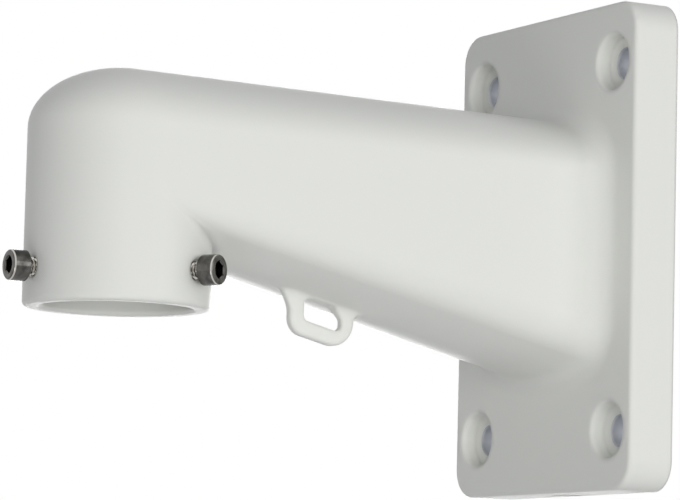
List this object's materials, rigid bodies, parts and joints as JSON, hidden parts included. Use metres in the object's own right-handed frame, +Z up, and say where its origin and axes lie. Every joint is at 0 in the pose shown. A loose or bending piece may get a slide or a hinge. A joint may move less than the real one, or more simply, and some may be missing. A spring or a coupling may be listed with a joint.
{
  "type": "camera wall bracket",
  "caption": "Hollow cast wall bracket: a bolted back plate, a tapering arm and a domed, downward collar that clamps a camera's pipe with side screws.",
  "frame": {"origin": "centre of the wall plate's back face, which is the centre of the four bolt holes", "axes": "+Z up, +Y into the wall, so the arm reaches along -Y; X runs across the plate"},
  "size_m": [0.11, 0.2193, 0.165],
  "materials": {
    "casting": "satin powder coat",
    "screws": "bright steel"
  },
  "bodies": {
    "root": {"bracket_casting": "casting", "clamp_screw_1": "screws", "clamp_screw_2": "screws", "clamp_screw_3": "screws"}
  },
  "joints": []
}
